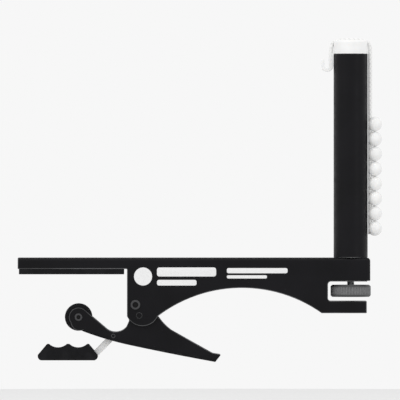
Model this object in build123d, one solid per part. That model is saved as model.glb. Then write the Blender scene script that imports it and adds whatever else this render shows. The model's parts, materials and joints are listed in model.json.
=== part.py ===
from build123d import *
import math
import os

# Table tennis net clamp, in millimetres. The origin is the middle of the jaw pad's underside, where the
# clamp sits on the table top. +X points away from the table, +Z is up, and the front faces -Y.

# --- jaw pad and table edge ---
PAD_LENGTH = 68.7
PAD_THICKNESS = 3.5
PAD_END_GAP = 2.0                            # from the pad's end to the table's edge
EDGE_X = PAD_LENGTH / 2 + PAD_END_GAP        # the table's edge touches the body here
PAD_GROOVE_PITCH = 5.0
PAD_GROOVE_DEPTH = 0.7
PAD_GROOVE_HALF = 8.5                        # grooves stop short of the pad's sides

# --- pressed-steel body ---
BODY_WIDTH = 22.0
SHEET = 1.7
BODY_TOP_Z = 10.9
BEND_RADIUS = 2.6
JAW_TIP_X = EDGE_X - 71.5
PLATE_END_X = EDGE_X + 156.8
FLAP_X = EDGE_X + 159.1                      # outer face of the folded end flap
FLAP_BOTTOM_Z = -4.3
LOBE_START_Z = -27.4                         # where the vertical front edge turns into the lobe
LOBE_LOW = (EDGE_X + 8.7, -33.8)
ARCH_START = (EDGE_X + 20.2, -27.4)
ARCH_TOP = (EDGE_X + 74.0, -8.9)
ARCH_END = (EDGE_X + 127.3, -25.4)
NOTCH_X = EDGE_X + 131.4
NOTCH_TOP_Z = -4.7
NOTCH_BOTTOM_Z = -17.4
NOTCH_RADIUS = 2.0
INNER_HALF = BODY_WIDTH / 2 - SHEET

# --- lever pivot ---
PIVOT = (EDGE_X + 5.5, -19.9)
RIVET_RADIUS = 2.6
RIVET_HOLE_RADIUS = 1.9
RIVET_HOLE_DEPTH = 2.0
RIVET_HEAD_RADIUS = 3.2
RIVET_HEAD_HEIGHT = 0.8
BUSH_RADIUS = 3.5
WASHER_THICKNESS = 0.5
FIT = 0.05                                   # radial clearance of every running fit
STOP_DISTANCE = 7.43                         # stop pin's centre to the pivot
STOP_ANGLE = -70.3
STOP_RADIUS = 1.5
OPEN_ANGLE = 28.0

# --- clamping lever ---
LEVER_WIDTH = 2 * (INNER_HALF - WASHER_THICKNESS - 2 * FIT)
LEVER_SHEET = 1.5
LEVER_INNER_HALF = LEVER_WIDTH / 2 - LEVER_SHEET
EAR_RADIUS = 5.0
ROLLER_CENTRE = (EDGE_X - 31.75, -28.0)
ARM_END_RADIUS = 6.2
ARM_BOTTOM = (EDGE_X - 30.2, -36.8)          # where the lower edge meets the roller's rim
ARM_CORNER_ANGLE = -144.0
LEVER_HEEL = (EDGE_X + 57.7, -57.4)
LEVER_BELLY = (EDGE_X + 27.0, -51.6)         # a point of the handle's slightly bowed lower edge
LEVER_BEND = (EDGE_X + 2.4, -46.5)           # from here the lower edge curves up to the roller
LEVER_BEND_RADIUS = 2.0
LEVER_LEAST_CURVE = 100.0                    # only the lower edge is curved this gently

# --- roller ---
ROLLER_RADIUS = 8.95
ROLLER_WIDTH = 12.4
HUB_RADIUS = 4.6
ROLLER_PIN_RADIUS = 2.0
ROLLER_PIN_HOLE_RADIUS = 1.35
ROLLER_PIN_HEAD_RADIUS = 2.5

# --- spacer pad and its strap ---
STRAP_PIN = (EDGE_X - 9.0, -40.3)
STRAP_PIN_RADIUS = 0.95
PAD_PIN = (EDGE_X - 21.4, -52.7)
STRAP_WIDTH = 5.0
STRAP_THICKNESS = 2.4
SPACER_WIDTH = 16.0
SPACER_LEFT_X = EDGE_X - 58.4
SPACER_RIGHT_X = EDGE_X - 19.2
SPACER_BOTTOM_Z = -56.3
SPACER_TOP_Z = -45.7
SPACER_SEATS = (EDGE_X - 45.4, EDGE_X - 32.1)
SPACER_SEAT_Z = -48.0

# --- height adjuster ---
POST_X = EDGE_X + 146.4
STUD_RADIUS = 2.45
STUD_BOTTOM_Z = -13.7
STUD_TOP_Z = 70.0
WHEEL_RADIUS = 13.15
WHEEL_BOTTOM_Z = -14.8
WHEEL_TOP_Z = -6.9
WHEEL_FLUTES = 44
BEARING_PLATE_Z = (NOTCH_TOP_Z + 0.1, -2.1)
COLLAR_RADIUS = 4.2
COLLAR_HEIGHT = 3.0
LIFT_TRAVEL = 6.0

# --- telescopic post ---
GUIDE_RADIUS = 8.9
GUIDE_INNER_RADIUS = 7.6
GUIDE_TOP_Z = 50.0
POST_RADIUS = 11.15
POST_INNER_RADIUS = 9.9
POST_BOTTOM_Z = BODY_TOP_Z + 0.05
POST_TOP_Z = 144.4
BUSH_BANDS = ((11.3, 19.3), (40.0, 48.0))
KEY_PIN_Z = 30.0
KEY_PIN_RADIUS = 1.5
CARRIER_Z = (51.0, 60.0)
LIFT_NUT_RADIUS = 5.0

# --- cap, tension cord and beads ---
CAP_TOP_Z = 153.3
CAP_PLUG_DEPTH = 12.0
CORD_RADIUS = 1.25
CORD_GROOVE_WIDTH = 2.8
CORD_ROUTE = (
    (EDGE_X + 133.5, 145.0),
    (EDGE_X + 133.5, 149.7),
    (EDGE_X + 136.1, 152.9),
    (EDGE_X + 146.4, 153.5),
    (EDGE_X + 156.6, 152.9),
    (EDGE_X + 159.2, 149.7),
    (EDGE_X + 159.2, 26.2),
)
BEAD_COUNT = 8
BEAD_RADIUS = 4.87
BEAD_X = EDGE_X + 162.1
BEAD_TOP_CENTRE_Z = 98.4
BEAD_PITCH = 9.77


def side_face(outline):
    """A closed outline drawn in X and Z, as a face in the XZ plane."""
    return Plane.XZ * make_face(outline)


def slab(face, half_width):
    """A side face thickened evenly to both sides of the clamp's middle plane."""
    return extrude(face, amount=half_width, both=True)


def rod(x, z, radius, half_length):
    """A round bar across the clamp, along Y."""
    return Pos(x, 0, z) * Rot(90, 0, 0) * Cylinder(radius, 2 * half_length)


def upright(radius, z_low, z_high, x=POST_X):
    """A round bar along Z."""
    return Pos(x, 0, (z_low + z_high) / 2) * Cylinder(radius, z_high - z_low)


def polar(centre, radius, degrees):
    """The point at this angle on a circle in the XZ plane."""
    angle = math.radians(degrees)
    return (centre[0] + radius * math.cos(angle), centre[1] + radius * math.sin(angle))


def block(x_low, x_high, half_width, z_low, z_high):
    """A box centred on the clamp's middle plane."""
    middle = ((x_low + x_high) / 2, 0, (z_low + z_high) / 2)
    return Pos(*middle) * Box(x_high - x_low, 2 * half_width, z_high - z_low)


def dimpled_rivet(x, z, radius, hole_radius, head_radius, half_grip, head_height):
    """A rivet across the clamp, with a round-edged head and a blind hole at each end."""
    rivet = rod(x, z, radius, half_grip)
    for side in (-1, 1):
        head = Pos(x, side * (half_grip + head_height / 2), z) * Rot(90, 0, 0)
        disc = head * Cylinder(head_radius, head_height)
        rims = disc.edges().filter_by(GeomType.CIRCLE).sort_by(Axis.Y)
        outer_edge = rims[0] if side < 0 else rims[-1]
        rivet += fillet(outer_edge, head_height * 0.6)
    end = half_grip + head_height
    return rivet - (rod(x, z, hole_radius, end + 1) - rod(x, z, hole_radius + 1, end - RIVET_HOLE_DEPTH))


def body_outline():
    """The body's side view: a long flat jaw, a lobe at the pivot, an arch for the fingers and a notch."""
    return [
        Line((JAW_TIP_X, PAD_THICKNESS), (EDGE_X, PAD_THICKNESS)),
        Line((EDGE_X, PAD_THICKNESS), (EDGE_X, LOBE_START_Z)),
        ThreePointArc((EDGE_X, LOBE_START_Z), LOBE_LOW, ARCH_START),
        ThreePointArc(ARCH_START, ARCH_TOP, ARCH_END),
        Line(ARCH_END, (PLATE_END_X, ARCH_END[1])),
        Line((PLATE_END_X, ARCH_END[1]), (PLATE_END_X, BODY_TOP_Z)),
        Line((PLATE_END_X, BODY_TOP_Z), (JAW_TIP_X, BODY_TOP_Z)),
        Line((JAW_TIP_X, BODY_TOP_Z), (JAW_TIP_X, PAD_THICKNESS)),
    ]


def body_channel():
    """One sheet folded into a channel open downward, with a short flap folded down over its outer end."""
    outside = slab(side_face(body_outline()), BODY_WIDTH / 2)
    outside += block(PLATE_END_X - 1, FLAP_X, BODY_WIDTH / 2, FLAP_BOTTOM_Z, BODY_TOP_Z)
    top = outside.faces().sort_by(Axis.Z)[-1]
    outside = fillet(top.edges().filter_by(Axis.X), BEND_RADIUS)
    end_edges = outside.edges().filter_by(Axis.Y).group_by(Axis.Z)[-1]
    outside = fillet(end_edges.sort_by(Axis.X)[-1], BEND_RADIUS - 0.4)
    hollow = block(JAW_TIP_X + SHEET, FLAP_X - SHEET, INNER_HALF, LOBE_LOW[1] - 5, BODY_TOP_Z - SHEET)
    ceiling = hollow.faces().sort_by(Axis.Z)[-1]
    hollow = fillet(ceiling.edges(), BEND_RADIUS - SHEET)
    notch = block(NOTCH_X, FLAP_X + 5, BODY_WIDTH, NOTCH_BOTTOM_Z, NOTCH_TOP_Z)
    inner_corners = notch.edges().filter_by(Axis.Y).group_by(Axis.X)[0]
    notch = fillet(inner_corners, NOTCH_RADIUS)
    flap_corner = block(PLATE_END_X, FLAP_X + 5, BODY_WIDTH, NOTCH_TOP_Z - 1, FLAP_BOTTOM_Z)
    stop = polar(PIVOT, STOP_DISTANCE, STOP_ANGLE)
    body = outside - hollow - notch - flap_corner
    body -= rod(*PIVOT, RIVET_RADIUS, BODY_WIDTH)
    body -= rod(*stop, STOP_RADIUS, BODY_WIDTH)
    body -= upright(GUIDE_RADIUS, 0, BODY_TOP_Z + 5)
    return body


def jaw_pad():
    """A rubber pad whose raised back fills the hollow jaw and whose foot is grooved for grip."""
    half = PAD_LENGTH / 2
    foot = block(-half, half, BODY_WIDTH / 2 - 0.3, 0, PAD_THICKNESS)
    foot = fillet(foot.edges().filter_by(Axis.Z), 1.5)
    back = block(-half + 1.6, half - 1.0, INNER_HALF - 0.1, PAD_THICKNESS, BODY_TOP_Z - SHEET - 0.1)
    back = fillet(back.faces().sort_by(Axis.Z)[-1].edges(), BEND_RADIUS - SHEET)
    pad = foot + back
    groove_count = int(PAD_LENGTH / PAD_GROOVE_PITCH) - 1
    for number in range(groove_count):
        x = (number - (groove_count - 1) / 2) * PAD_GROOVE_PITCH
        pad -= block(x - 0.6, x + 0.6, PAD_GROOVE_HALF, -1, PAD_GROOVE_DEPTH)
    return pad


def pivot_rivet():
    return dimpled_rivet(
        *PIVOT, RIVET_RADIUS, RIVET_HOLE_RADIUS, RIVET_HEAD_RADIUS, BODY_WIDTH / 2, RIVET_HEAD_HEIGHT
    )


def pivot_bush():
    """The sleeve between the lever's ears that the spring is wound round."""
    half = LEVER_INNER_HALF - FIT
    return rod(*PIVOT, BUSH_RADIUS, half) - rod(*PIVOT, RIVET_RADIUS, half + 1)


def pivot_washers():
    """One thin washer on each side, between the lever's ear and the body's plate."""
    washers = []
    middle = INNER_HALF - FIT - WASHER_THICKNESS / 2
    for side in (-1, 1):
        place = Pos(PIVOT[0], side * middle, PIVOT[1]) * Rot(90, 0, 0)
        washer = Cylinder(EAR_RADIUS - 0.2, WASHER_THICKNESS) - Cylinder(RIVET_RADIUS, WASHER_THICKNESS + 1)
        washers.append(place * washer)
    return washers


def torsion_spring():
    """Wire wound round the bush. One leg presses up under the body's top, the other down on the handle."""
    wire_radius = 0.75
    coil_radius = 4.6
    pitch = 1.8
    first_angle = 155.0                     # where the body's leg leaves the coil
    turn = 60.0 + 4 * 360.0
    body_leg = 28.6
    lever_leg = 29.4
    height = pitch * turn / 360
    slope = math.atan2(pitch, 2 * math.pi * coil_radius)
    coil = Helix(pitch, height, coil_radius)
    start = coil @ 0
    finish = coil @ 1
    path = Wire([
        Edge.make_line(start - (coil % 0) * body_leg, start),
        coil,
        Edge.make_line(finish, finish + (coil % 1) * lever_leg),
    ])
    section = Plane(origin=path @ 0, z_dir=path % 0) * Circle(wire_radius)
    wire = sweep(section, path=path, is_frenet=True)
    print("spring wire", round(wire.volume / (math.pi * wire_radius**2), 1), "mm, slope", round(slope, 3))
    wound = Rot(0, 0, first_angle) * Pos(0, 0, -height / 2) * wire
    return Plane(origin=(PIVOT[0], 0, PIVOT[1]), x_dir=(1, 0, 0), z_dir=(0, -1, 0)) * wound


def lever_stop_pin():
    """Crosses both plates and the lever's curved slots, and ends the lever's travel both ways."""
    stop = polar(PIVOT, STOP_DISTANCE, STOP_ANGLE)
    return rod(*stop, STOP_RADIUS, BODY_WIDTH / 2 + 0.2)


def lower_edge(raised):
    """The lever's lower edge from heel to roller, raised by this much: two arcs that meet smoothly."""
    heel, belly, bend, arm = [
        (x, z + raised) for x, z in (LEVER_HEEL, LEVER_BELLY, LEVER_BEND, ARM_BOTTOM)
    ]
    handle = ThreePointArc(heel, belly, bend)
    return [handle, TangentArc(bend, arm, tangent=handle % 1)]


def lever_outline():
    """The lever's side view, from the roller's arm under the pivot to the handle's turned-up tip."""
    arm_corner = polar(ROLLER_CENTRE, ARM_END_RADIUS, ARM_CORNER_ANGLE)
    arm_middle = polar(ROLLER_CENTRE, (ARM_END_RADIUS + ROLLER_RADIUS) / 2 + 0.4, -112)
    arm_top = polar(ROLLER_CENTRE, ARM_END_RADIUS, 50)
    arm_left = polar(ROLLER_CENTRE, ARM_END_RADIUS, 130)
    neck = (EDGE_X - 13.6, -35.3)
    throat = (EDGE_X - 7.6, -37.6)
    rise = (EDGE_X - 0.4, -34.2)
    shoulder = (EDGE_X + 1.3, -30.4)
    ear_left = polar(PIVOT, EAR_RADIUS, 180)
    ear_right = polar(PIVOT, EAR_RADIUS, 35)
    collar = (EDGE_X + 20.8, -28.0)
    hump = (EDGE_X + 28.9, -36.4)
    tip_inner = (EDGE_X + 56.0, -51.6)
    tip_top = (EDGE_X + 60.8, -52.3)
    tip_end = (EDGE_X + 61.2, -53.0)
    return [
        ThreePointArc(ARM_BOTTOM, arm_middle, arm_corner),
        ThreePointArc(arm_corner, arm_left, arm_top),
        Line(arm_top, neck),
        ThreePointArc(neck, throat, rise),
        Line(rise, shoulder),
        Line(shoulder, ear_left),
        ThreePointArc(ear_left, polar(PIVOT, EAR_RADIUS, 110), ear_right),
        Line(ear_right, collar),
        ThreePointArc(collar, (EDGE_X + 24.3, -32.3), hump),
        Line(hump, tip_inner),
        Line(tip_inner, tip_top),
        Line(tip_top, tip_end),
        Line(tip_end, LEVER_HEEL),
        *lower_edge(0),
    ]


def stop_slot():
    """The curved slot that the stop pin runs in, seen in the lever at rest."""
    half_slot = STOP_RADIUS + 0.1
    first = STOP_ANGLE
    last = STOP_ANGLE - OPEN_ANGLE
    inner = STOP_DISTANCE - half_slot
    outer = STOP_DISTANCE + half_slot
    middle = (first + last) / 2
    band = side_face([
        ThreePointArc(polar(PIVOT, inner, last), polar(PIVOT, inner, middle), polar(PIVOT, inner, first)),
        Line(polar(PIVOT, inner, first), polar(PIVOT, outer, first)),
        ThreePointArc(polar(PIVOT, outer, first), polar(PIVOT, outer, middle), polar(PIVOT, outer, last)),
        Line(polar(PIVOT, outer, last), polar(PIVOT, inner, last)),
    ])
    slot = slab(band, LEVER_WIDTH)
    for angle in (first, last):
        slot += rod(*polar(PIVOT, STOP_DISTANCE, angle), half_slot, LEVER_WIDTH)
    return slot


def lever_channel():
    """A narrower channel open upward: two cheeks joined by a web along the lever's lower edge."""
    outside = slab(side_face(lever_outline()), LEVER_WIDTH / 2)
    web_top = lower_edge(LEVER_SHEET)
    heel = (LEVER_HEEL[0], LEVER_HEEL[1] + LEVER_SHEET)
    arm = (ARM_BOTTOM[0], ARM_BOTTOM[1] + LEVER_SHEET)
    above = 0
    beyond = 8
    hollow = side_face([
        *web_top,
        Line(arm, (arm[0] - beyond, arm[1])),
        Line((arm[0] - beyond, arm[1]), (arm[0] - beyond, above)),
        Line((arm[0] - beyond, above), (heel[0], above)),
        Line((heel[0], above), heel),
    ])
    bends = [
        edge for edge in outside.edges().filter_by(GeomType.CIRCLE)
        if edge.radius > LEVER_LEAST_CURVE and abs(abs(edge.center().Y) - LEVER_WIDTH / 2) < 0.01
    ]
    outside = fillet(bends, LEVER_BEND_RADIUS)
    lever = outside - slab(hollow, LEVER_INNER_HALF)
    lever -= rod(*ROLLER_CENTRE, ROLLER_RADIUS + 0.9, LEVER_INNER_HALF)
    lever -= rod(*PIVOT, RIVET_RADIUS + FIT, LEVER_WIDTH)
    lever -= rod(*ROLLER_CENTRE, ROLLER_PIN_RADIUS, LEVER_WIDTH)
    lever -= rod(*STRAP_PIN, STRAP_PIN_RADIUS, LEVER_WIDTH)
    slot_left, slot_right = STRAP_PIN[0] - 9.2, STRAP_PIN[0] + 4.6
    lever -= block(slot_left, slot_right, STRAP_THICKNESS / 2 + 0.4, -47, STRAP_PIN[1] + 2)
    return lever - stop_slot()


def roller_pin():
    return dimpled_rivet(
        *ROLLER_CENTRE, ROLLER_PIN_RADIUS, ROLLER_PIN_HOLE_RADIUS, ROLLER_PIN_HEAD_RADIUS,
        LEVER_WIDTH / 2, 0.6,
    )


def roller_washers():
    """One thin washer on each side of the roller."""
    washers = []
    middle = (LEVER_INNER_HALF + ROLLER_WIDTH / 2) / 2
    thickness = LEVER_INNER_HALF - ROLLER_WIDTH / 2 - 2 * FIT
    for side in (-1, 1):
        place = Pos(ROLLER_CENTRE[0], side * middle, ROLLER_CENTRE[1]) * Rot(90, 0, 0)
        washer = Cylinder(HUB_RADIUS, thickness) - Cylinder(ROLLER_PIN_RADIUS, thickness + 1)
        washers.append(place * washer)
    return washers


def roller_hub():
    hub = rod(*ROLLER_CENTRE, HUB_RADIUS, ROLLER_WIDTH / 2)
    return hub - rod(*ROLLER_CENTRE, ROLLER_PIN_RADIUS + FIT, ROLLER_WIDTH)


def roller_tyre():
    tyre = rod(*ROLLER_CENTRE, ROLLER_RADIUS, ROLLER_WIDTH / 2)
    tyre = fillet(tyre.edges().filter_by(GeomType.CIRCLE), 0.8)
    for side in (-1, 1):
        groove = rod(*ROLLER_CENTRE, ROLLER_RADIUS + 1, 0.45) - rod(*ROLLER_CENTRE, ROLLER_RADIUS - 0.5, 1)
        tyre -= Pos(0, side * ROLLER_WIDTH / 6, 0) * groove
    return tyre - rod(*ROLLER_CENTRE, HUB_RADIUS, ROLLER_WIDTH)


def strap_pin():
    return rod(*STRAP_PIN, STRAP_PIN_RADIUS, LEVER_WIDTH / 2)


def spacer_strap():
    """A flat moulded link with a round eye at each end."""
    half = STRAP_THICKNESS / 2
    eye = STRAP_WIDTH / 2
    run = math.dist(STRAP_PIN, PAD_PIN)
    angle = math.degrees(math.atan2(STRAP_PIN[1] - PAD_PIN[1], STRAP_PIN[0] - PAD_PIN[0]))
    link = Pos(PAD_PIN[0], 0, PAD_PIN[1]) * Rot(0, -angle, 0) * Pos(run / 2, 0, 0)
    strap = link * Box(run, STRAP_THICKNESS, STRAP_WIDTH - 0.8)
    for pin in (STRAP_PIN, PAD_PIN):
        strap += rod(*pin, eye, half)
    for pin in (STRAP_PIN, PAD_PIN):
        strap -= rod(*pin, STRAP_PIN_RADIUS + FIT, STRAP_THICKNESS)
    return strap


def pad_pin():
    return rod(*PAD_PIN, STRAP_PIN_RADIUS, SPACER_WIDTH / 2 - 0.4)


def spacer_pad():
    """A rubber block with a flat back and two hollows between three rounded bumps."""
    lean = 5.9                               # how far each end slopes in from bottom to top
    seat_radius = 8.6
    outline = Polyline(
        (SPACER_LEFT_X, SPACER_BOTTOM_Z), (SPACER_RIGHT_X, SPACER_BOTTOM_Z),
        (SPACER_RIGHT_X, SPACER_BOTTOM_Z + 3.6), (SPACER_RIGHT_X - lean, SPACER_TOP_Z),
        (SPACER_LEFT_X + lean, SPACER_TOP_Z), (SPACER_LEFT_X, SPACER_BOTTOM_Z + 3.6), close=True,
    )
    pad = slab(side_face(outline), SPACER_WIDTH / 2)
    for x in SPACER_SEATS:
        pad -= rod(x, SPACER_SEAT_Z + seat_radius, seat_radius, SPACER_WIDTH)
    across = pad.edges().filter_by(Axis.Y)
    pad = fillet(across.group_by(Axis.Z)[0], 2.6)
    tops = pad.edges().filter_by(Axis.Y).group_by(Axis.Z)[-1]
    pad = fillet(tops, 0.7)
    eye_room = STRAP_WIDTH / 2 + 0.35
    half_slot = STRAP_THICKNESS / 2 + 0.35
    pad -= rod(*PAD_PIN, eye_room, half_slot)
    pad -= block(PAD_PIN[0] - eye_room, SPACER_RIGHT_X + 1, half_slot, PAD_PIN[1], SPACER_TOP_Z + 1)
    pad -= block(PAD_PIN[0], SPACER_RIGHT_X + 1, half_slot, SPACER_BOTTOM_Z - 1, SPACER_TOP_Z + 1)
    return pad - rod(*PAD_PIN, STRAP_PIN_RADIUS, SPACER_WIDTH / 2 - 0.4)


def bearing_plate():
    """A plate welded between the body's sides above the notch. The wheel's stud turns in its hole."""
    plate = block(POST_X - 12, PLATE_END_X - 0.1, INNER_HALF - 0.02, *BEARING_PLATE_Z)
    return plate - upright(STUD_RADIUS + FIT, -10, 5)


def guide_tube():
    """The fixed inner tube of the post, with an upright slot in its back for the key pin."""
    low = BEARING_PLATE_Z[1]
    tube = upright(GUIDE_RADIUS, low, GUIDE_TOP_Z) - upright(GUIDE_INNER_RADIUS, low - 1, GUIDE_TOP_Z + 1)
    half_slot = KEY_PIN_RADIUS + 0.1
    slot_height = LIFT_TRAVEL + 0.6
    middle = Pos(POST_X, GUIDE_RADIUS, KEY_PIN_Z + LIFT_TRAVEL / 2)
    slot = middle * Box(2 * half_slot, 6, slot_height)
    for end in (-1, 1):
        slot += middle * Pos(0, 0, end * slot_height / 2) * Rot(90, 0, 0) * Cylinder(half_slot, 6)
    return tube - slot


def adjuster_stud():
    """A threaded stud, drawn at its outer radius."""
    stud = upright(STUD_RADIUS, STUD_BOTTOM_Z, STUD_TOP_Z)
    return chamfer(stud.edges().filter_by(GeomType.CIRCLE), 0.5)


def stud_collar():
    """Fixed on the stud above the bearing plate, it carries the post's weight."""
    low = BEARING_PLATE_Z[1] + 0.1
    collar = upright(COLLAR_RADIUS, low, low + COLLAR_HEIGHT) - upright(STUD_RADIUS, low - 1, 5)
    return collar


def thumb_wheel():
    """A grooved wheel with smooth bevelled rims and a hexagon pocket underneath for its lock nut."""
    wheel = upright(WHEEL_RADIUS, WHEEL_BOTTOM_Z, WHEEL_TOP_Z)
    rim = 1.0
    wheel = chamfer(wheel.edges().filter_by(GeomType.CIRCLE), rim)
    flute_radius = 0.62
    middle_z = (WHEEL_BOTTOM_Z + WHEEL_TOP_Z) / 2
    flute_height = WHEEL_TOP_Z - WHEEL_BOTTOM_Z - 2 * rim - 1.4
    flutes = PolarLocations(WHEEL_RADIUS + 0.15, WHEEL_FLUTES) * Cylinder(flute_radius, flute_height)
    wheel -= [Pos(POST_X, 0, middle_z) * flute for flute in flutes]
    pocket = Pos(POST_X, 0, WHEEL_BOTTOM_Z) * extrude(RegularPolygon(4.1, 6, major_radius=False), 3.3)
    return wheel - pocket - upright(STUD_RADIUS, WHEEL_BOTTOM_Z - 1, WHEEL_TOP_Z + 1)


def wheel_lock_nut():
    low = WHEEL_BOTTOM_Z + 0.4
    nut = Pos(POST_X, 0, low) * extrude(RegularPolygon(4.0, 6, major_radius=False), 2.8)
    return nut - upright(STUD_RADIUS, low - 1, low + 5)


def post_tube():
    tube = upright(POST_RADIUS, POST_BOTTOM_Z, POST_TOP_Z)
    tube -= upright(POST_INNER_RADIUS, POST_BOTTOM_Z - 1, POST_TOP_Z + 1)
    return tube - Pos(POST_X, POST_RADIUS, KEY_PIN_Z) * Rot(90, 0, 0) * Cylinder(KEY_PIN_RADIUS, 6)


def guide_bushes():
    """Two plastic bushes in the post that slide on the guide tube."""
    bushes = []
    for low, high in BUSH_BANDS:
        bush = upright(POST_INNER_RADIUS - 0.02, low, high)
        bushes.append(bush - upright(GUIDE_RADIUS + FIT, low - 1, high + 1))
    return bushes


def key_pin():
    """Stops the post turning: fixed in its wall, it runs in the guide tube's slot."""
    outer_y = POST_RADIUS - 0.1
    inner_y = GUIDE_INNER_RADIUS + 0.1
    middle = Pos(POST_X, (outer_y + inner_y) / 2, KEY_PIN_Z)
    return middle * Rot(90, 0, 0) * Cylinder(KEY_PIN_RADIUS, outer_y - inner_y)


def nut_carrier():
    """The plastic plug inside the post that holds the lifting nut."""
    return upright(POST_INNER_RADIUS - 0.02, *CARRIER_Z) - upright(LIFT_NUT_RADIUS, 40, 70)


def lift_nut():
    """The brass nut that the stud raises and lowers."""
    return upright(LIFT_NUT_RADIUS, *CARRIER_Z) - upright(STUD_RADIUS + FIT, 40, 70)


def post_cap():
    """A moulded cap with a groove over its top that keeps the cord in line."""
    head = upright(POST_RADIUS, POST_TOP_Z, CAP_TOP_Z)
    head = fillet(head.edges().filter_by(GeomType.CIRCLE).sort_by(Axis.Z)[-1], 1.8)
    plug = upright(POST_INNER_RADIUS - 0.02, POST_TOP_Z - CAP_PLUG_DEPTH, POST_TOP_Z)
    plug -= upright(POST_INNER_RADIUS - 2.0, POST_TOP_Z - CAP_PLUG_DEPTH - 1, POST_TOP_Z - 1)
    floor = CORD_RADIUS + 0.06
    left, top_left, crown, top_right, right = CORD_ROUTE[1:6]
    above = CAP_TOP_Z + 5
    below = left[1] - 2.4
    left_wall = left[0] + floor
    right_wall = right[0] - floor
    groove = side_face(Polyline(
        (left_wall, below), (left_wall + 0.5, left[1] - 0.4), (top_left[0] + 1.3, top_left[1] - floor - 0.3),
        (crown[0], crown[1] - floor), (top_right[0] - 1.3, top_right[1] - floor - 0.3),
        (right_wall - 0.5, right[1] - 0.4), (right_wall, below), (right[0] + 5, below), (right[0] + 5, above),
        (left[0] - 5, above), (left[0] - 5, below), close=True,
    ))
    return head + plug - slab(groove, CORD_GROOVE_WIDTH / 2)


def cord_corner_radii():
    """Each corner's arc takes 0.45 of its shorter run at each side."""
    radii = []
    for before, corner, after in zip(CORD_ROUTE, CORD_ROUTE[1:], CORD_ROUTE[2:]):
        way_in = Vector(corner[0] - before[0], corner[1] - before[1])
        way_out = Vector(after[0] - corner[0], after[1] - corner[1])
        turn = math.radians(way_in.get_angle(way_out))
        radii.append(0.45 * min(way_in.length, way_out.length) / math.tan(turn / 2))
    return radii


def tension_cord():
    """Up from the hook, over the cap and straight down through the beads."""
    radii = cord_corner_radii()
    print("cord radii", [round(radius, 2) for radius in radii])
    points = [(x, 0, z) for x, z in CORD_ROUTE]
    path = FilletPolyline(*points, radius=radii)
    section = Plane(origin=path @ 0, z_dir=path % 0) * Circle(CORD_RADIUS)
    cord = sweep(section, path=path)
    print("cord length", round(path.length, 1), "volume ratio", round(
        cord.volume / (math.pi * CORD_RADIUS**2 * path.length), 4))
    return cord


def cord_beads():
    """Round beads moulded on the cord's outer side, flat where they lie along the post."""
    cord_x = CORD_ROUTE[-1][0]
    beads = []
    for number in range(BEAD_COUNT):
        z = BEAD_TOP_CENTRE_Z - number * BEAD_PITCH
        bead = Pos(BEAD_X, 0, z) * Sphere(BEAD_RADIUS)
        bead &= block(EDGE_X + 158.1, BEAD_X + 10, 10, z - 10, z + 10)
        beads.append(bead - upright(CORD_RADIUS, z - 10, z + 10, cord_x))
    return beads


def cord_hook():
    """A small moulded hook for the net's top cord, hanging from the cord's inner end."""
    stem_x = CORD_ROUTE[0][0]
    top = CORD_ROUTE[0][1]
    outline = [
        Line((stem_x + 1.5, top), (stem_x - 1.4, top)),
        Line((stem_x - 1.4, top), (stem_x - 1.4, top - 8.5)),
        ThreePointArc((stem_x - 1.4, top - 8.5), (stem_x - 2.9, top - 10), (stem_x - 4.4, top - 8.5)),
        Line((stem_x - 4.4, top - 8.5), (stem_x - 4.4, top - 5.2)),
        ThreePointArc((stem_x - 4.4, top - 5.2), (stem_x - 5.4, top - 4.2), (stem_x - 6.4, top - 5.2)),
        Line((stem_x - 6.4, top - 5.2), (stem_x - 6.4, top - 8.8)),
        ThreePointArc((stem_x - 6.4, top - 8.8), (stem_x - 2.45, top - 12.4), (stem_x + 1.5, top - 8.8)),
        Line((stem_x + 1.5, top - 8.8), (stem_x + 1.5, top)),
    ]
    hook = slab(side_face(outline), 2.2)
    return fillet(hook.edges().filter_by(Axis.Y).group_by(Axis.Z)[-1], 0.6)


MAKERS = [
    body_channel, jaw_pad, pivot_rivet, pivot_bush, pivot_washers, torsion_spring, lever_stop_pin,
    bearing_plate, guide_tube, lever_channel, roller_pin, roller_washers, strap_pin, roller_hub,
    roller_tyre, spacer_strap, pad_pin, spacer_pad, thumb_wheel, wheel_lock_nut, adjuster_stud,
    stud_collar, post_tube, guide_bushes, key_pin, nut_carrier, lift_nut, post_cap, tension_cord,
    cord_beads, cord_hook,
]

os.makedirs("parts", exist_ok=True)
for maker in MAKERS:
    made = maker()
    if isinstance(made, list):
        made = Compound(children=made)
    export_step(made, f"parts/{maker.__name__}.step")
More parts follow.
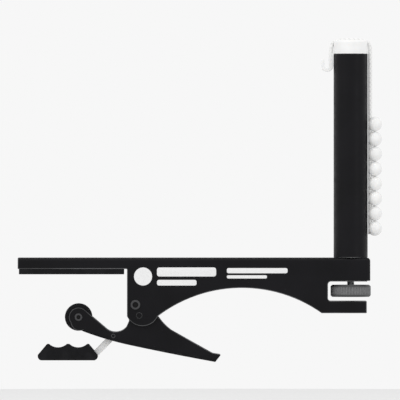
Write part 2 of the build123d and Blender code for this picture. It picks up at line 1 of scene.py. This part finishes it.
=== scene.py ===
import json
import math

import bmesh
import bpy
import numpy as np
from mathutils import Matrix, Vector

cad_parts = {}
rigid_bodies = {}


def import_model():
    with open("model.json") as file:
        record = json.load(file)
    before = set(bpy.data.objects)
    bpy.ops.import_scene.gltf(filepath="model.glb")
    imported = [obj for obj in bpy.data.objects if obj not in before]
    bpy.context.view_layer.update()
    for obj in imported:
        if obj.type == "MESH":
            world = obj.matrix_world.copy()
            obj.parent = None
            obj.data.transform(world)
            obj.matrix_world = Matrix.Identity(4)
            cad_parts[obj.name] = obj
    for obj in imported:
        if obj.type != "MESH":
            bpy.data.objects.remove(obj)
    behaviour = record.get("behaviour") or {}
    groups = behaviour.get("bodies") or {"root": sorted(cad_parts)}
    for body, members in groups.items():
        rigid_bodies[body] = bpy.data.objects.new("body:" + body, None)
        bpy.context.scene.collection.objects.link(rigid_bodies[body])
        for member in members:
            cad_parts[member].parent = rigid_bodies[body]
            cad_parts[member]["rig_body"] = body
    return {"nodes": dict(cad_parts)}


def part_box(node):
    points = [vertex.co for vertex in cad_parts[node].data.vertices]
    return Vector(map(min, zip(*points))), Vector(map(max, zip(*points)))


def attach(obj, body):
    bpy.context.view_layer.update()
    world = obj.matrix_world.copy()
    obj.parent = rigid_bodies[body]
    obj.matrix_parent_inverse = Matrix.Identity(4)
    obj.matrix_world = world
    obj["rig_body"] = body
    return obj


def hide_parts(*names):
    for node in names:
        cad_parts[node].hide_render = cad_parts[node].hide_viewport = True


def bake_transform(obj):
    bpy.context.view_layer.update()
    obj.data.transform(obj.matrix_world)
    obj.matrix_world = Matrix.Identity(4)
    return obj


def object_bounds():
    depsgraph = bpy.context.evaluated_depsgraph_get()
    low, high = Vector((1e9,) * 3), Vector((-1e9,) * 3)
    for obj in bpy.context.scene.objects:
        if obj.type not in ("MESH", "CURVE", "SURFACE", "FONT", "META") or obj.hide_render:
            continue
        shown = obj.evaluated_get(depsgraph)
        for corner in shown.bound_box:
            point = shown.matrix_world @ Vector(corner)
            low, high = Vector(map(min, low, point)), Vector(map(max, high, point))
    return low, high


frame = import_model()

# %% [markdown]
# # A table tennis net clamp
#
# The clamp grips the edge of a table with a long flat jaw above and a sprung rubber roller below.
# A hollow post stands on its outer end and carries the net. The engineering model is already loaded:
# every node sits where it belongs, in metres, with +Z up and the front facing -Y. This lesson gives
# the parts their looks: finishes, softened edges, a real thread, a printed mark and a braided cord.

cad_low, cad_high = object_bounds()
MM = 0.001
print("engineering box, mm:", [round((high - low) / MM, 1) for low, high in zip(cad_low, cad_high)])

# %% [markdown]
# ## Camera
#
# The clamp is drawn square on from the front, with no visible perspective. A very long lens far away
# gives that, and, unlike an orthographic camera, it can be moved round the object for other views.

# %% A long lens, level with the middle of the clamp
LENS_MM = 800.0
SENSOR_MM = 36.0
FRAME_WIDTH = 262 * MM
FARTHEST_SEEN = 40.0
centre = (cad_low + cad_high) / 2
distance = FRAME_WIDTH * LENS_MM / SENSOR_MM
lens = bpy.data.cameras.new("front_camera")
lens.lens = LENS_MM
lens.sensor_width = SENSOR_MM
lens.clip_end = FARTHEST_SEEN
camera = bpy.data.objects.new("front_camera", lens)
camera.location = (centre.x, centre.y - distance, centre.z)
camera.rotation_euler = (math.radians(90), 0, 0)
bpy.context.scene.collection.objects.link(camera)
bpy.context.scene.camera = camera
bpy.context.scene.view_settings.view_transform = "Standard"
print("camera stands", round(distance, 2), "m in front")

# %% [markdown]
# ## Building blocks for surfaces
#
# A new piece is a grid of points worked out as one array, from two parameters. grid_mesh turns the
# grid into a mesh. Rows that shrink to one point are poles, and merging close points shuts them and
# the seam, so that the surface is closed and its faces can be turned to point outwards.

# %% From a grid of points to a closed mesh
POLE_MERGE = 1e-7


def grid_mesh(name, points):
    """Quads between neighbouring points of a rows x columns x 3 array; the columns close into a loop."""
    rows, columns, _ = points.shape
    row = np.arange(rows - 1)[:, None] * columns
    here = np.arange(columns)[None, :]
    after = (here + 1) % columns
    quads = np.stack([row + here, row + after, row + columns + after, row + columns + here], axis=-1)
    mesh = bpy.data.meshes.new(name)
    mesh.from_pydata(points.reshape(-1, 3).tolist(), [], quads.reshape(-1, 4).tolist())
    shape = bmesh.new()
    shape.from_mesh(mesh)
    bmesh.ops.remove_doubles(shape, verts=shape.verts, dist=POLE_MERGE)
    bmesh.ops.recalc_face_normals(shape, faces=shape.faces)
    shape.to_mesh(mesh)
    shape.free()
    return mesh


def show(mesh, name, material, sharp_degrees=35):
    """Puts a finished mesh in the scene, smooth apart from its real edges."""
    mesh.shade_smooth()
    mesh.set_sharp_from_angle(angle=math.radians(sharp_degrees))
    mesh.materials.clear()
    mesh.materials.append(material)
    piece = bpy.data.objects.new(name, mesh)
    bpy.context.scene.collection.objects.link(piece)
    return piece


# %% [markdown]
# ## Finishes
#
# Real surfaces are never one flat colour. The finishes below are built from the same patterns in the
# object's own space: broad clouds that shift the tone a little, finer ones that make some places
# glossier, and a grain that lifts the surface by hundredths of a millimetre. Noise gathers round 0.5,
# so the ranges above the class stretch its middle to the whole of the wanted range.

# %% A helper for node materials
BROAD_NOISE = (0.35, 0.65)
EVEN_NOISE = (0.3, 0.7)


class Finish:
    """A Principled material with short calls for the patterns that feed it."""

    def __init__(self, name, colour, roughness, metallic=0.0, specular=0.5):
        self.material = bpy.data.materials.new(name)
        self.material.use_nodes = True
        self.nodes = self.material.node_tree.nodes
        self.links = self.material.node_tree.links
        self.shader = self.nodes["Principled BSDF"]
        self.colour = colour
        self.set("Base Color", (*colour, 1.0))
        self.set("Roughness", roughness)
        self.set("Metallic", metallic)
        self.set("Specular IOR Level", specular)
        self.space = self.nodes.new("ShaderNodeTexCoord").outputs["Object"]

    def set(self, socket, value):
        self.shader.inputs[socket].default_value = value

    def feed(self, socket, output):
        self.links.new(output, self.shader.inputs[socket])

    def noise(self, scale, detail=3.0, space=None):
        node = self.nodes.new("ShaderNodeTexNoise")
        node.inputs["Scale"].default_value = scale
        node.inputs["Detail"].default_value = detail
        self.links.new(space or self.space, node.inputs["Vector"])
        return node.outputs["Fac"]

    def stretched(self, scale):
        """Object space squeezed or turned over along some axes, for drawn lines and leaning threads."""
        node = self.nodes.new("ShaderNodeMapping")
        node.inputs["Scale"].default_value = scale
        self.links.new(self.space, node.inputs["Vector"])
        return node.outputs["Vector"]

    def coordinate(self, axis):
        """One coordinate of the object's own space, in metres."""
        node = self.nodes.new("ShaderNodeSeparateXYZ")
        self.links.new(self.space, node.inputs["Vector"])
        return node.outputs[axis]

    def calculate(self, operation, *values):
        """A Math node's answer: ABSOLUTE, MULTIPLY or MAXIMUM of these values."""
        node = self.nodes.new("ShaderNodeMath")
        node.operation = operation
        for socket, value in zip(node.inputs, values):
            self.links.new(value, socket)
        return node.outputs["Value"]

    def ramp(self, value, low, high, to_low, to_high):
        """The value from low to high, carried to another range and held at its ends."""
        node = self.nodes.new("ShaderNodeMapRange")
        self.links.new(value, node.inputs["Value"])
        limits = {"From Min": low, "From Max": high, "To Min": to_low, "To Max": to_high}
        for name, number in limits.items():
            node.inputs[name].default_value = number
        return node.outputs["Result"]

    def blend(self, factor, first, second):
        """Between two colours, or from an earlier blend to a colour."""
        node = self.nodes.new("ShaderNodeMix")
        node.data_type = "RGBA"
        self.links.new(factor, node.inputs["Factor"])
        for socket, colour in ((node.inputs["A"], first), (node.inputs["B"], second)):
            if isinstance(colour, tuple):
                socket.default_value = (*colour, 1.0)
            else:
                self.links.new(colour, socket)
        return node.outputs["Result"]

    def relief(self, height, strength, depth_mm):
        """A bump on top of any earlier one."""
        node = self.nodes.new("ShaderNodeBump")
        node.inputs["Strength"].default_value = strength
        node.inputs["Distance"].default_value = depth_mm * MM
        self.links.new(height, node.inputs["Height"])
        earlier = self.shader.inputs["Normal"].links
        if earlier:
            self.links.new(earlier[0].from_socket, node.inputs["Normal"])
        self.feed("Normal", node.outputs["Normal"])

    def clouds(self, tone, scale):
        """Shifts the base colour up and down by this share of itself."""
        dark = tuple(channel * (1 - tone) for channel in self.colour)
        light = tuple(min(1.0, channel * (1 + tone)) for channel in self.colour)
        patches = self.ramp(self.noise(scale), *BROAD_NOISE, 0.0, 1.0)
        self.feed("Base Color", self.blend(patches, dark, light))

    def gloss(self, low, high, scale):
        """Roughness that wanders between these two."""
        self.feed("Roughness", self.ramp(self.noise(scale, 4.0), *BROAD_NOISE, low, high))


# %% [markdown]
# ### Painted steel
#
# The body, lever and post are pressed or drawn steel under a black powder coat. Powder melts into a
# skin with a faint orange peel, satin rather than mirror bright. It flows away from sharp edges as it
# cures, so they wear first. A second finish for softened edges paints them as thin dull grey lines:
# partly that edge wear, partly a painted highlight along the edges.

# %% Black powder coat, and its grey edges of wear and painted highlight
COAT_BLACK = (0.0042, 0.0040, 0.0052)
EDGE_GREY = (0.095, 0.095, 0.098)


def powder_coat(name, colour, tone):
    finish = Finish(name, colour, 0.42, specular=0.13)
    finish.clouds(tone, 45.0)
    finish.gloss(0.36, 0.5, 220.0)
    finish.relief(finish.noise(1900.0, 1.0), 0.22, 0.03)
    finish.relief(finish.noise(420.0, 2.0), 0.16, 0.05)
    return finish.material


black_coat = powder_coat("black_powder_coat", COAT_BLACK, 0.22)
# Grey on the rounded edges: edge wear, and a painted highlight along every edge.
edge_wear_and_highlight = powder_coat("edge_wear_and_painted_highlight", EDGE_GREY, 0.35)
print("painted steel finishes:", black_coat.name, edge_wear_and_highlight.name)

# %% [markdown]
# ### Rubber
#
# The jaw pad, the roller's tyre and the loose spacer pad are moulded black rubber. It is matt, with a
# slight grey bloom that gathers in clouds, and a fine grain copied from the mould.

# %% Moulded black rubber
RUBBER_BLACK = (0.0085, 0.0085, 0.0095)
BLOOM_GREY = (0.02, 0.02, 0.022)
rubber = Finish("moulded_black_rubber", RUBBER_BLACK, 0.8, specular=0.1)
bloom = rubber.ramp(rubber.noise(130.0, 6.0), 0.5, 0.72, 0.0, 0.55)
rubber.feed("Base Color", rubber.blend(bloom, RUBBER_BLACK, BLOOM_GREY))
rubber.gloss(0.68, 0.88, 260.0)
rubber.relief(rubber.noise(2600.0, 2.0), 0.3, 0.04)
print("rubber finish:", rubber.material.name)

# %% [markdown]
# ### Bare metals
#
# Rivets, pins, washers, stud and spring are steel, the lifting nut is brass. Turned and drawn metal
# has fine lines along the way it was worked, made here from noise stretched across its axis.


# %% Steel and brass
def worked_metal(name, colour, roughness, stretch):
    """Bare metal with fine lines along the axes that stretch makes small."""
    finish = Finish(name, colour, roughness, metallic=1.0)
    finish.clouds(0.2, 300.0)
    lines = finish.noise(900.0, 2.0, finish.stretched(stretch))
    finish.feed("Roughness", finish.ramp(lines, *EVEN_NOISE, roughness - 0.1, roughness + 0.14))
    finish.relief(lines, 0.18, 0.02)
    return finish.material


blackened_steel = worked_metal("blackened_rivet_steel", (0.085, 0.085, 0.09), 0.42, (1.0, 0.15, 1.0))
zinc_plate = worked_metal("zinc_plated_steel", (0.5, 0.51, 0.52), 0.34, (1.0, 1.0, 0.2))
spring_wire = worked_metal("oiled_spring_wire", (0.16, 0.155, 0.15), 0.32, (1.0, 0.3, 1.0))
brass = worked_metal("turned_brass", (0.62, 0.42, 0.14), 0.3, (0.2, 0.2, 1.0))
print("metals:", [metal.name for metal in (blackened_steel, zinc_plate, spring_wire, brass)])

# %% [markdown]
# The two rivets are painted with the parts they hold. Their rolled rims stand proud of the plates, so
# the paint is rubbed down to dull steel there and stays black inside. Distance from the clamp's
# middle plane is enough to tell the two apart.


# %% Rivets with rubbed rims
RIM_FADE = 0.15 * MM
RUBBED_DARK = (0.032, 0.032, 0.034)
RUBBED_LIGHT = (0.07, 0.07, 0.073)


def rubbed_rivet(name, plate_half_width):
    """Black where the distance from the middle plane is under the plate's, dull steel beyond it."""
    finish = Finish(name, COAT_BLACK, 0.42, specular=0.2)
    outward = finish.calculate("ABSOLUTE", finish.coordinate("Y"))
    proud = finish.ramp(outward, plate_half_width, plate_half_width + RIM_FADE, 0.0, 1.0)
    rubbed = finish.blend(finish.noise(1500.0, 4.0), RUBBED_DARK, RUBBED_LIGHT)
    finish.feed("Base Color", finish.blend(proud, COAT_BLACK, rubbed))
    finish.feed("Roughness", finish.ramp(finish.noise(900.0), *EVEN_NOISE, 0.32, 0.5))
    return finish.material


pivot_rim = rubbed_rivet("rubbed_pivot_rivet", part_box("body_channel")[1][1])
roller_rim = rubbed_rivet("rubbed_roller_rivet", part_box("lever_channel")[1][1])
print("rivet finishes:", pivot_rim.name, roller_rim.name)

# %% [markdown]
# ### Mouldings
#
# Cap, strap and hook are white nylon, the roller's hub is dark nylon and the sliding bushes are nylon
# in its natural cream. Nylon lets light in a little, so its shadows are soft and warm.


# %% White, dark and natural nylon
def nylon(name, colour, glossiest, dullest, depth_mm):
    """A moulding that light enters to about depth_mm, with roughness between glossiest and dullest."""
    finish = Finish(name, colour, glossiest, specular=0.45)
    finish.clouds(0.035, 90.0)
    finish.gloss(glossiest, dullest, 160.0)
    finish.relief(finish.noise(1500.0, 3.0), 0.12, 0.02)
    finish.set("Subsurface Weight", 0.12)
    finish.set("Subsurface Radius", (1.0, 0.9, 0.8))
    finish.set("Subsurface Scale", depth_mm * MM)
    return finish.material


white_nylon = nylon("white_nylon", (0.82, 0.82, 0.815), 0.34, 0.46, 1.2)
natural_nylon = nylon("natural_nylon", (0.66, 0.62, 0.54), 0.38, 0.5, 1.5)
dark_nylon = nylon("dark_nylon", (0.022, 0.022, 0.025), 0.4, 0.55, 0.2)
bead_white = nylon("polished_white_beads", (0.84, 0.84, 0.835), 0.1, 0.2, 1.0)
print("mouldings:", [plastic.name for plastic in (white_nylon, natural_nylon, dark_nylon, bead_white)])

# %% [markdown]
# ### The thumb wheel
#
# The wheel is grey plastic. Its fluted grip is lighter than the smooth rims above and below it.
# The band is a matter of height alone, so the finish reads the object's own Z.

# %% A grey wheel with a lighter grip
GRIP_MARGIN = 1.5 * MM
GRIP_FADE = 0.35 * MM
WHEEL_GREY = (0.055, 0.056, 0.058)
GRIP_DARK = (0.12, 0.121, 0.124)
GRIP_LIGHT = (0.19, 0.191, 0.195)
wheel_low, wheel_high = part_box("thumb_wheel")
grip_low = wheel_low[2] + GRIP_MARGIN
grip_high = wheel_high[2] - GRIP_MARGIN
wheel = Finish("grey_wheel_plastic", WHEEL_GREY, 0.5, specular=0.35)
height = wheel.coordinate("Z")
above = wheel.ramp(height, grip_low - GRIP_FADE, grip_low + GRIP_FADE, 0.0, 1.0)
below = wheel.ramp(height, grip_high - GRIP_FADE, grip_high + GRIP_FADE, 1.0, 0.0)
grip = wheel.blend(wheel.noise(500.0, 4.0), GRIP_DARK, GRIP_LIGHT)
wheel.feed("Base Color", wheel.blend(wheel.calculate("MULTIPLY", above, below), WHEEL_GREY, grip))
wheel.gloss(0.42, 0.6, 300.0)
wheel.relief(wheel.noise(2200.0, 2.0), 0.25, 0.03)
print("grip band, mm:", round(grip_low / MM, 2), "to", round(grip_high / MM, 2))

# %% [markdown]
# ## The cord
#
# The tension cord climbs from a small hook on the net side, bends over the cap in its groove and runs
# straight down the outside of the post through eight moulded beads. It is pulled tight, so its route
# is straight runs and tight bends: a NURBS line through a few listed points, the same ones the
# engineering model uses. One more point just after the last bend keeps the long run straight.

# %% A tight cord over the cap
# X and Z from the table's edge and top, in millimetres
EDGE = 36.35 * MM
ROUTE_MM = [
    (133.5, 145.0),
    (133.5, 149.7),
    (136.1, 152.9),
    (146.4, 153.5),
    (156.6, 152.9),
    (159.2, 149.7),
    (159.2, 145.0),
    (159.2, 26.2),
]
CORD_DIAMETER = 2.5 * MM
route = [(EDGE + x * MM, 0.0, z * MM) for x, z in ROUTE_MM]
cord_line = bpy.data.curves.new("tension_cord_braid", "CURVE")
cord_line.dimensions = "3D"
cord_line.bevel_depth = CORD_DIAMETER / 2
cord_line.bevel_resolution = 6
cord_line.use_fill_caps = True
cord_line.resolution_u = 14
spline = cord_line.splines.new("NURBS")
spline.points.add(len(route) - 1)
for point, spot in zip(spline.points, route):
    point.co = (*spot, 1.0)
spline.order_u = 3
spline.use_endpoint_u = True
cord = bpy.data.objects.new("tension_cord_braid", cord_line)
bpy.context.scene.collection.objects.link(cord)
print("cord route has", len(route), "points")

# %% [markdown]
# A braid is two sets of threads that wind opposite ways and pass over each other. Two sets of slanted
# waves in the object's space, one leaning each way, give the same crossing ridges on every side. The
# gaps between the raised threads are painted a darker white: painted shade.

# %% Braided white cord
CORD_WHITE = (0.84, 0.84, 0.83)
SHADE_BETWEEN_THREADS = (0.72, 0.72, 0.715)
THREAD_SCALE = 210.0
braid = Finish("braided_white_cord", CORD_WHITE, 0.75, specular=0.2)


def leaning_threads(lean):
    """Diagonal waves in space that is kept as it is or turned upside down, so they lean either way."""
    wave = braid.nodes.new("ShaderNodeTexWave")
    wave.bands_direction = "DIAGONAL"
    wave.inputs["Scale"].default_value = THREAD_SCALE
    wave.inputs["Distortion"].default_value = 0.4
    wave.inputs["Detail"].default_value = 1.0
    braid.links.new(braid.stretched((1.0, 1.0, lean)), wave.inputs["Vector"])
    return wave.outputs["Fac"]


threads = braid.calculate("MAXIMUM", leaning_threads(1.0), leaning_threads(-1.0))
raised = braid.ramp(threads, 0.3, 0.9, 0.0, 1.0)
# Painted shade: the gaps between the raised threads take a darker white.
braid.feed("Base Color", braid.blend(raised, SHADE_BETWEEN_THREADS, CORD_WHITE))
braid.feed("Roughness", braid.ramp(braid.noise(1800.0), *EVEN_NOISE, 0.65, 0.85))
braid.relief(threads, 0.6, 0.12)
cord_line.materials.append(braid.material)
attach(cord, "post")
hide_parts("tension_cord")
print("cord finish:", braid.material.name)

# %% [markdown]
# ## Softened edges
#
# Pressed and moulded parts have small rounded edges that catch light as thin lines, and the
# engineering meshes have none. A copy of a node's mesh has its loose triangles merged and its flat
# areas joined. Every real corner is then marked, and a Bevel modifier rounds the marked edges. Bends
# that are round already are left alone. Their thin twisted triangles can look like corners, but real
# corners here all run in planes square to an axis. On painted parts the new faces take the grey edge
# finish: edge wear and a painted highlight.

# %% Which edges are real corners
FLAT_DEGREES = 0.4
CORNER_DEGREES = 55.0
SLIVER_WIDTH = 0.12 * MM
SQUARE_WITHIN = 0.002 * MM
WELD_DISTANCE = 1e-6
BEVEL_SEGMENTS = 2


def face_width(face):
    """Area over longest side: small only for slivers."""
    return face.calc_area() / max(edge.calc_length() for edge in face.edges)


def is_corner(edge):
    """Sharp enough, not beside a sliver, and running in a plane square to one of the axes."""
    if len(edge.link_faces) != 2 or edge.calc_face_angle() < math.radians(CORNER_DEGREES):
        return False
    along = edge.verts[1].co - edge.verts[0].co
    if min(abs(step) for step in along) > SQUARE_WITHIN:
        return False
    return all(face_width(face) > SLIVER_WIDTH for face in edge.link_faces)


# %% A merged copy of a node, with its corners marked
def merged_copy(node):
    """The node's mesh and an open bmesh of it, in which the loose triangles are joined."""
    mesh = frame["nodes"][node].data.copy()
    shape = bmesh.new()
    shape.from_mesh(mesh)
    bmesh.ops.remove_doubles(shape, verts=shape.verts, dist=WELD_DISTANCE)
    return mesh, shape


def corner_marked(node):
    """A merged copy with its flat areas joined and a bevel weight of 1 on every real corner."""
    mesh, shape = merged_copy(node)
    bmesh.ops.dissolve_limit(
        shape, angle_limit=math.radians(FLAT_DEGREES), verts=shape.verts, edges=shape.edges
    )
    shape.normal_update()
    marks = shape.edges.layers.float.new("bevel_weight_edge")
    for edge in shape.edges:
        edge[marks] = float(is_corner(edge))
    shape.to_mesh(mesh)
    shape.free()
    if "custom_normal" in mesh.attributes:
        mesh.attributes.remove(mesh.attributes["custom_normal"])
    return mesh


# %% A rounded piece that stands for a node
def softened(node, name, material, edge_mm, edge_material):
    """Rounds the corners to a width of edge_mm, with edge_material, if given, on the new faces."""
    mesh = corner_marked(node)
    piece = show(mesh, name, material)
    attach(piece, frame["nodes"][node]["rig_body"])
    bevel = piece.modifiers.new("rounded_edges", "BEVEL")
    bevel.width = edge_mm * MM
    bevel.segments = BEVEL_SEGMENTS
    bevel.limit_method = "WEIGHT"
    bevel.use_clamp_overlap = False
    bevel.loop_slide = False
    bevel.harden_normals = True
    bevel.miter_outer = "MITER_ARC"
    if edge_material:
        mesh.materials.append(edge_material)
        bevel.material = 1
    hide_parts(node)
    return piece


# %% Which parts are softened, and by how much
# The painted parts' rounded edges take the grey of edge wear and a painted highlight.
SOFTENED = [
    ("body_channel", "pressed_body", "black_paint", black_coat, 0.5, edge_wear_and_highlight),
    ("lever_channel", "pressed_lever", "black_paint", black_coat, 0.34, edge_wear_and_highlight),
    ("post_tube", "drawn_post", "black_paint", black_coat, 0.3, edge_wear_and_highlight),
    ("jaw_pad", "ribbed_jaw_pad", "black_rubber", rubber.material, 0.2, None),
    ("spacer_strap", "moulded_strap", "white_nylon", white_nylon, 0.35, None),
    ("post_cap", "moulded_cap", "white_nylon", white_nylon, 0.12, None),
    ("wheel_lock_nut", "hexagon_lock_nut", "zinc_steel", zinc_plate, 0.2, None),
    ("cord_hook", "moulded_hook", "white_nylon", white_nylon, 0.3, None),
]
for node, name, slot, material, edge_mm, edge_material in SOFTENED:
    softened(node, name, material, edge_mm, edge_material)
print("softened", len(SOFTENED), "parts")

# %% [markdown]
# ## The spring
#
# One leg of the torsion spring presses under the body's top and the other rests in the lever. When
# the lever opens, its leg goes with it and the coils wind up round the bush. A merged, smooth-shaded
# copy of the spring stands in for it and stays where it is.

# %% A merged copy of the spring
WIRE_SHARP_DEGREES = 50
spring_mesh, wire = merged_copy("torsion_spring")
wire.to_mesh(spring_mesh)
wire.free()
spring = show(spring_mesh, "wound_spring", spring_wire, WIRE_SHARP_DEGREES)
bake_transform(spring)
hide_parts("torsion_spring")
print("spring has", len(spring_mesh.polygons), "faces")

# %% [markdown]
# ## The stud's thread
#
# The wheel turns a threaded stud, and the nut inside the post climbs it. A thread is a radius that
# rises and falls once per pitch while the phase advances once per turn, which joins every ridge into
# one helix. The surface starts and ends on the axis, so both ends are closed.

# %% A helical thread as a surface
THREAD_PITCH = 0.8 * MM
THREAD_DEPTH = 0.42 * MM
END_BEVEL = 0.5 * MM
THREAD_SHARP_DEGREES = 60
stud_low, stud_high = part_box("adjuster_stud")
stud_x = (stud_low[0] + stud_high[0]) / 2
stud_radius = (stud_high[0] - stud_low[0]) / 2


def threaded_rod(x, radius, low, high, columns=28, rows_per_pitch=8):
    """Radius = outer radius less a triangle wave of (height / pitch - angle / turn), cut in at the ends."""
    rows = int((high - low) / THREAD_PITCH * rows_per_pitch)
    heights = np.linspace(low, high, rows)[:, None]
    angles = np.linspace(0, 2 * np.pi, columns, endpoint=False)[None, :]
    phase = (heights / THREAD_PITCH - angles / (2 * np.pi)) % 1.0
    valley = np.abs(2 * phase - 1)
    to_end = np.minimum(heights - low, high - heights)
    nose = radius - np.clip(END_BEVEL - to_end, 0, None)
    radii = np.minimum(radius - THREAD_DEPTH * valley, nose)
    ring = np.stack([x + radii * np.cos(angles), radii * np.sin(angles), heights + 0 * angles], axis=-1)
    first = np.broadcast_to([x, 0.0, low], (1, columns, 3))
    last = np.broadcast_to([x, 0.0, high], (1, columns, 3))
    return np.concatenate([first, ring, last])


thread = grid_mesh("threaded_stud", threaded_rod(stud_x, stud_radius, stud_low[2], stud_high[2]))
stud = show(thread, "threaded_stud", zinc_plate, THREAD_SHARP_DEGREES)
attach(stud, "adjuster")
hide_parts("adjuster_stud")
print("thread has", len(thread.polygons), "faces")

# %% [markdown]
# ## The printed mark
#
# White ink is printed on the front of the body beside the pivot: a large mark and a smaller one to
# its right. Here they are a plain ball with two bars, and two thin bars, with no lettering. Each is a
# thin pillow: a rounded outline carried from its rim to its middle, a few hundredths of a millimetre
# high. The rounded outline is a small circle pushed out to the corners of a box, so its ends stay
# round at any length, and the ball is the same shape with no straight sides.

# %% White ink
INK_HEIGHT = 0.03 * MM
INK_WHITE = (0.80, 0.80, 0.80)
ink = Finish("white_printing_ink", INK_WHITE, 0.5, specular=0.3)
ink.clouds(0.012, 600.0)
ink.relief(ink.noise(3000.0, 2.0), 0.1, 0.01)
body_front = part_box("body_channel")[0][1]
print("ink lies on the plane y =", round(body_front / MM, 2), "mm")


# %% One printed shape
# From the middle, over the rim and back under it: share of the outline, and share of the ink's height
PILLOW_REACH = (0.0, 0.999, 1.0, 1.0, 0.0)
PILLOW_LIFT = (1.0, 1.0, 0.7, -0.6, -0.6)


def printed_shape(left, right, low, high, corner, columns=64):
    """A pillow facing -Y: outline = corner circle + box corner of the same quarter, lower at its rim."""
    angles = np.linspace(0, 2 * np.pi, columns, endpoint=False) + np.pi / columns
    cosines, sines = np.cos(angles), np.sin(angles)
    across = corner * cosines + np.sign(cosines) * ((right - left) / 2 - corner)
    upward = corner * sines + np.sign(sines) * ((high - low) / 2 - corner)
    reach = np.array(PILLOW_REACH)[:, None]
    lift = np.array(PILLOW_LIFT)[:, None] * INK_HEIGHT
    x = EDGE + (left + right) / 2 * MM + reach * across * MM
    z = (low + high) / 2 * MM + reach * upward * MM
    y = body_front - lift + 0 * across
    return np.stack([x, y, z], axis=-1)


# %% The ball and the bars, left, right, low, high and corner in millimetres from the table's edge
PRINTED = [
    (4.6, 16.4, -7.3, 4.5, 5.9),
    (19.6, 58.3, -1.4, 4.5, 1.6),
    (19.6, 45.5, -7.3, -3.6, 1.4),
    (65.3, 105.0, 0.7, 4.1, 1.2),
    (65.3, 91.5, -2.7, -0.6, 0.9),
]
mark = bmesh.new()
for outline in PRINTED:
    single = grid_mesh("printed_shape", printed_shape(*outline))
    mark.from_mesh(single)
    bpy.data.meshes.remove(single)
mark_mesh = bpy.data.meshes.new("printed_mark")
mark.to_mesh(mark_mesh)
mark.free()
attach(show(mark_mesh, "printed_mark", ink.material), "clamp")
print("printed", len(PRINTED), "shapes")

# %% [markdown]
# ## Finishes on the remaining parts
#
# The other nodes keep their engineering meshes. Only the material in each object's own slot changes.

# %% One finish for every node
FINISHES = {
    "pivot_rivet": pivot_rim,
    "pivot_bush": zinc_plate,
    "pivot_washers": zinc_plate,
    "torsion_spring": spring_wire,
    "lever_stop_pin": black_coat,
    "bearing_plate": black_coat,
    "guide_tube": zinc_plate,
    "roller_pin": roller_rim,
    "roller_washers": zinc_plate,
    "strap_pin": black_coat,
    "roller_hub": dark_nylon,
    "roller_tyre": rubber.material,
    "pad_pin": blackened_steel,
    "spacer_pad": rubber.material,
    "thumb_wheel": wheel.material,
    "stud_collar": zinc_plate,
    "guide_bushes": natural_nylon,
    "key_pin": zinc_plate,
    "nut_carrier": natural_nylon,
    "lift_nut": brass,
    "cord_beads": bead_white,
}
FINISHES.update({node: material for node, _, _, material, _, _ in SOFTENED})
FINISHES.update({"adjuster_stud": zinc_plate, "tension_cord": braid.material})
for node, material in FINISHES.items():
    for holder in frame["nodes"][node].material_slots:
        holder.link = "OBJECT"
        holder.material = material
print("finished", len(FINISHES), "of", len(frame["nodes"]), "nodes")

# %% [markdown]
# ## How the cord is held
#
# The cord is one limp length, held by the cap's groove and kept straight by the beads on it.

# %% [markdown]
# ## Floor and light
#
# A pale round floor lies just under the lowest point that the spacer pad reaches in any position, so
# the clamp hangs above it, as it would from a table. The light is a plain pale surround with three
# soft lamps: a key from the upper left, a weaker fill from the right, and a long strip high in front
# that draws thin lines along the top edges.

# %% A pale floor
FLOOR_RADIUS = 0.75
FLOOR_SIDES = 96
SWING_ROOM = 33.5 * MM
FLOOR_WHITE = (0.80, 0.80, 0.80)
angles = np.linspace(0, 2 * np.pi, FLOOR_SIDES, endpoint=False)
rim = FLOOR_RADIUS * np.stack([np.cos(angles), np.sin(angles), 0 * angles], axis=-1)
disc = np.stack([rim, 0 * rim]) + np.array([centre.x, 0.0, cad_low.z - SWING_ROOM])
floor_mesh = grid_mesh("studio_floor", disc)
floor = bpy.data.objects.new("studio_floor", floor_mesh)
bpy.context.scene.collection.objects.link(floor)
paper = Finish("pale_floor", FLOOR_WHITE, 0.9, specular=0.05)
floor_mesh.materials.append(paper.material)
print("floor lies", round(SWING_ROOM / MM, 1), "mm under the clamp")

# %% A pale surround
WHITE = (1.0, 1.0, 1.0, 1.0)
SURROUND_STRENGTH = 0.93
world = bpy.data.worlds.new("pale_surround")
world.use_nodes = True
surround = world.node_tree.nodes["Background"]
surround.inputs["Color"].default_value = WHITE
surround.inputs["Strength"].default_value = SURROUND_STRENGTH
bpy.context.scene.world = world
print("surround strength", SURROUND_STRENGTH)


# %% Three soft lamps: name, offset in metres, width, height and watts
def soft_lamp(name, offset, width, height, watts):
    """An area lamp at this offset from the clamp's middle, turned to face it."""
    data = bpy.data.lights.new(name, "AREA")
    data.shape = "RECTANGLE"
    data.size = width
    data.size_y = height
    data.energy = watts
    lamp = bpy.data.objects.new(name, data)
    lamp.location = [middle + shift for middle, shift in zip(centre, offset)]
    towards = centre - lamp.location
    lamp.rotation_euler = towards.to_track_quat("-Z", "Y").to_euler()
    bpy.context.scene.collection.objects.link(lamp)


LAMPS = [
    ("key_lamp", (-0.8, -0.9, 0.7), 0.5, 0.5, 2.2),
    ("fill_lamp", (0.9, -0.9, 0.1), 0.2, 0.9, 0.8),
    ("top_strip", (0.0, -0.45, 1.0), 1.3, 0.06, 2.0),
]
for lamp_facts in LAMPS:
    soft_lamp(*lamp_facts)
print("lit by", len(LAMPS), "lamps")
